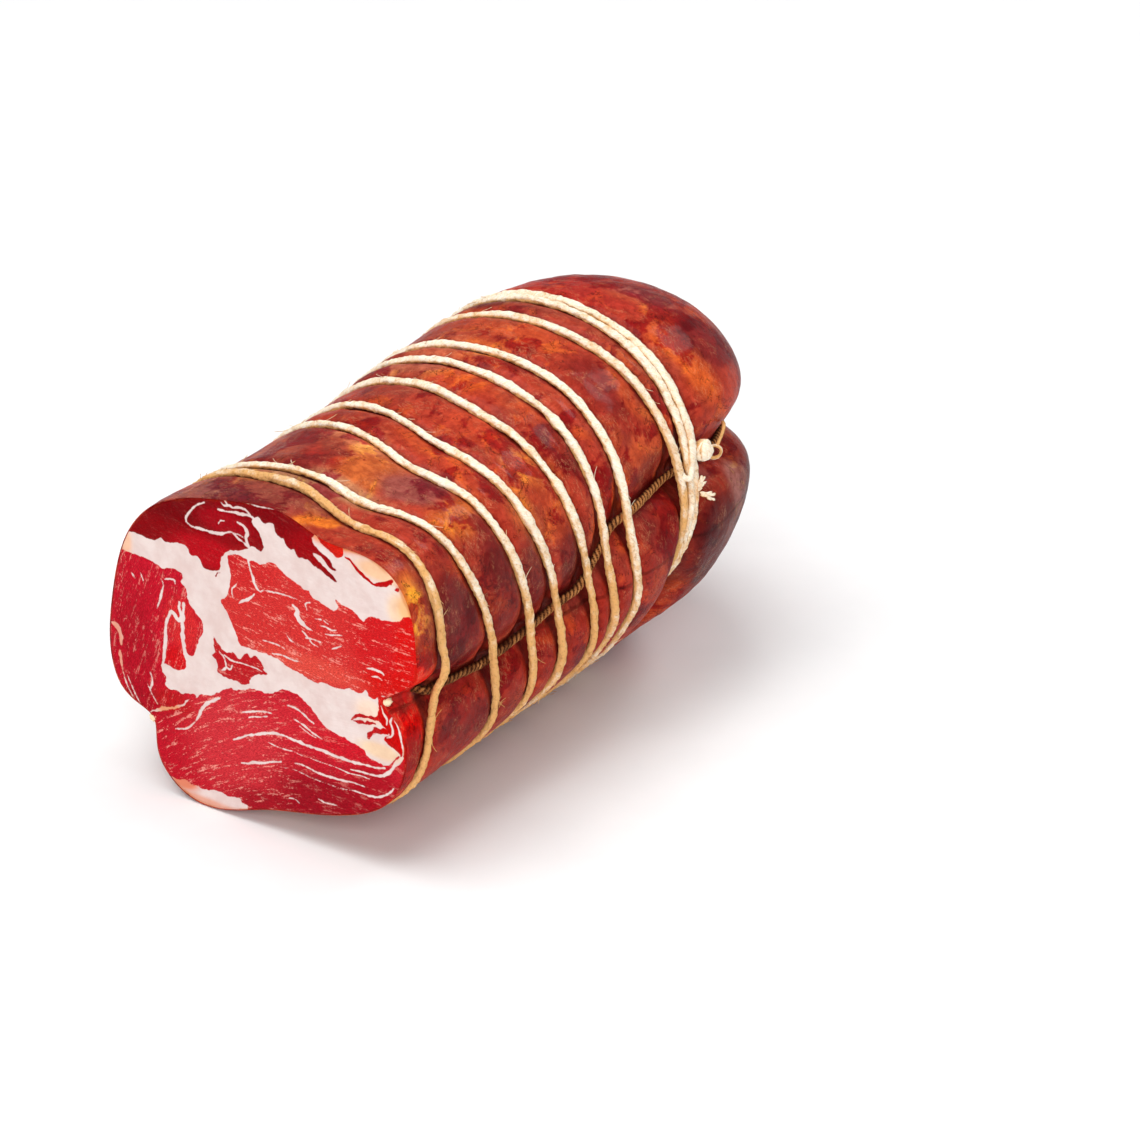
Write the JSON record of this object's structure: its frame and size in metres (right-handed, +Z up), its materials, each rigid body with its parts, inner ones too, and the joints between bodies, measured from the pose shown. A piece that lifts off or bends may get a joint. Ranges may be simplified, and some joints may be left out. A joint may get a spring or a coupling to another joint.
{
  "type": "coppa",
  "caption": "Cut half of a cured pork neck, tied round and lengthwise with twine, lying on its flattened underside, marbled cut face at one end.",
  "frame": {"origin": "centre of the bounding box at its base, on the surface that the joint lies on", "axes": "+Z up; +X along the log from the cut face to the domed end; -Y is the right side seen from the cut"},
  "size_m": [0.1686, 0.1004, 0.0985],
  "materials": {
    "cured_meat": "semi-gloss cured casing, moist cut face",
    "twine": "matt twisted natural twine",
    "soaked_twine": "matt twisted twine, soaked brown"
  },
  "bodies": {
    "root": {"coppa_body": "cured_meat", "twine_loop_1": "twine", "twine_loop_2": "twine", "twine_loop_3": "twine", "twine_loop_4": "twine", "twine_loop_5": "twine", "twine_loop_6": "twine", "twine_loop_7": "twine", "twine_loop_8": "twine", "twine_loop_9a": "twine", "twine_loop_9b": "twine", "twine_lengthwise": "soaked_twine", "twine_knot": "twine"}
  },
  "joints": []
}
